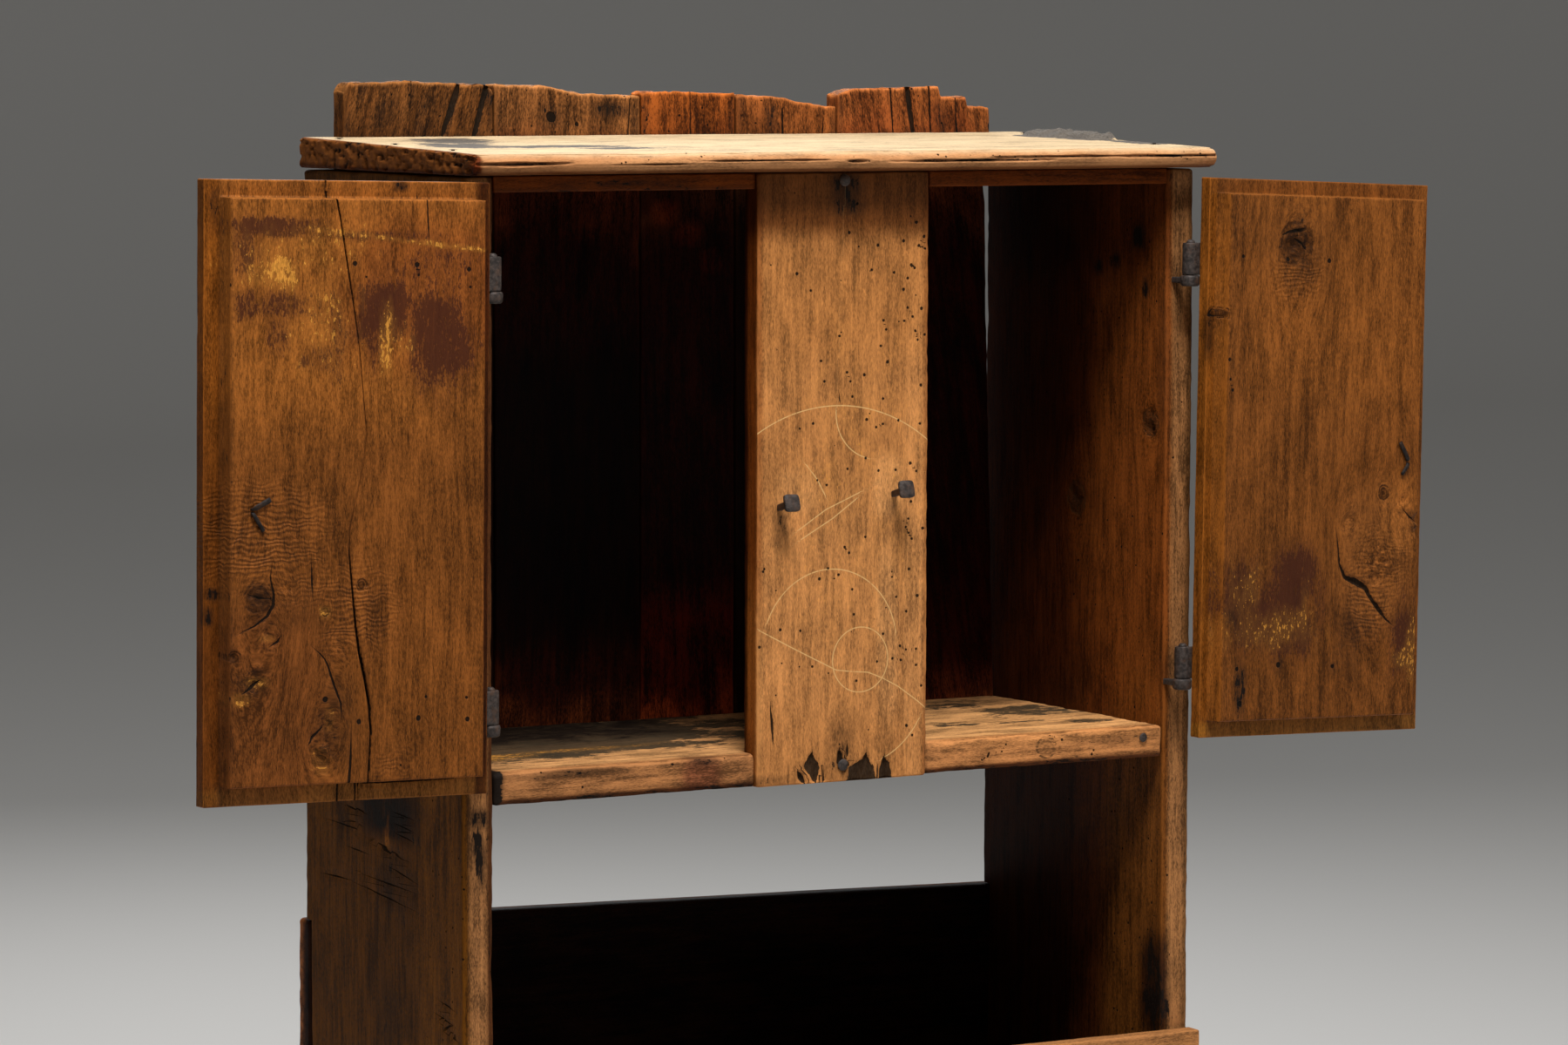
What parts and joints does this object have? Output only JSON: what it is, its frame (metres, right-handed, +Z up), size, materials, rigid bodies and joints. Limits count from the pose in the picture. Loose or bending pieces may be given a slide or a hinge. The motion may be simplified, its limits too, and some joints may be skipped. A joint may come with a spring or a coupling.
{
  "type": "plank sideboard",
  "caption": "Rustic plank sideboard: a cupboard with lipped doors on strap hinges, over an open niche and a plank bin.",
  "frame": {"origin": "on the floor, under the middle of the whole with the doors open", "axes": "+X to the right as seen from the front, +Y to the back, +Z up"},
  "size_m": [1.4265, 0.4368, 1.527],
  "materials": {
    "side_wood": "worn, waxed old timber",
    "top_wood": "worn, waxed old timber",
    "rail_wood": "worn, waxed old timber",
    "stile_wood": "worn, waxed old timber",
    "shelf_wood": "worn, waxed old timber",
    "back_wood": "worn, waxed old timber",
    "front_wood": "worn, waxed old timber",
    "bin_wood": "worn, waxed old timber",
    "door_wood": "worn, waxed old timber",
    "wrought_iron": "hand-forged, dark and rubbed"
  },
  "bodies": {
    "carcass": {"side_left": "side_wood", "side_right": "side_wood", "top_board": "top_wood", "top_rail": "rail_wood", "centre_stile": "stile_wood", "cupboard_shelf": "shelf_wood", "back_plank_1": "back_wood", "back_plank_2": "back_wood", "back_plank_3": "back_wood", "back_plank_4": "back_wood", "back_plank_5": "back_wood", "lower_back_lower": "back_wood", "lower_back_upper": "back_wood", "front_plank_lower": "front_wood", "front_plank_upper": "front_wood", "bin_floor_1": "bin_wood", "bin_floor_2": "bin_wood", "floor_cleat_left": "bin_wood", "floor_cleat_right": "bin_wood", "pintle_left_lower": "wrought_iron", "pintle_left_upper": "wrought_iron", "pintle_right_lower": "wrought_iron", "pintle_right_upper": "wrought_iron", "catch_nail_left": "wrought_iron", "catch_nail_right": "wrought_iron", "stile_nail_1": "wrought_iron", "stile_nail_2": "wrought_iron"},
    "left_door": {"door_left": "door_wood", "hinge_strap_left_lower": "wrought_iron", "hinge_strap_left_upper": "wrought_iron", "strap_nail_left_1": "wrought_iron", "strap_nail_left_2": "wrought_iron", "strap_nail_left_3": "wrought_iron", "strap_nail_left_4": "wrought_iron", "strap_nail_left_5": "wrought_iron", "strap_nail_left_6": "wrought_iron", "split_pin_left": "wrought_iron"},
    "right_door": {"door_right": "door_wood", "hinge_strap_right_lower": "wrought_iron", "hinge_strap_right_upper": "wrought_iron", "strap_nail_right_1": "wrought_iron", "strap_nail_right_2": "wrought_iron", "strap_nail_right_3": "wrought_iron", "strap_nail_right_4": "wrought_iron", "strap_nail_right_5": "wrought_iron", "strap_nail_right_6": "wrought_iron", "split_pin_right": "wrought_iron"},
    "left_ring": {"ring_pull_left": "wrought_iron"},
    "right_ring": {"ring_pull_right": "wrought_iron"}
  },
  "joints": [
    {"name": "door_left_hinge", "type": "hinge", "parent": "carcass", "child": "left_door", "pos_m": [-0.403, -0.1662, 1.1444], "axis": [0.008, 0, 1], "range_deg": [-45, 178]},
    {"name": "door_right_hinge", "type": "hinge", "parent": "carcass", "child": "right_door", "pos_m": [0.393, -0.1662, 1.1444], "axis": [0.014, 0, 0.9999], "range_deg": [-187, 36]},
    {"name": "ring_left_swing", "type": "hinge", "parent": "left_door", "child": "left_ring", "pos_m": [-0.67835, -0.17701, 1.1385], "axis": [0.9994, 0.0349, -0.008], "range_deg": [-5, 110]},
    {"name": "ring_right_swing", "type": "hinge", "parent": "right_door", "child": "right_ring", "pos_m": [0.6605, -0.13455, 1.13255], "axis": [0.9924, 0.1219, -0.0139], "range_deg": [-5, 110]}
  ]
}
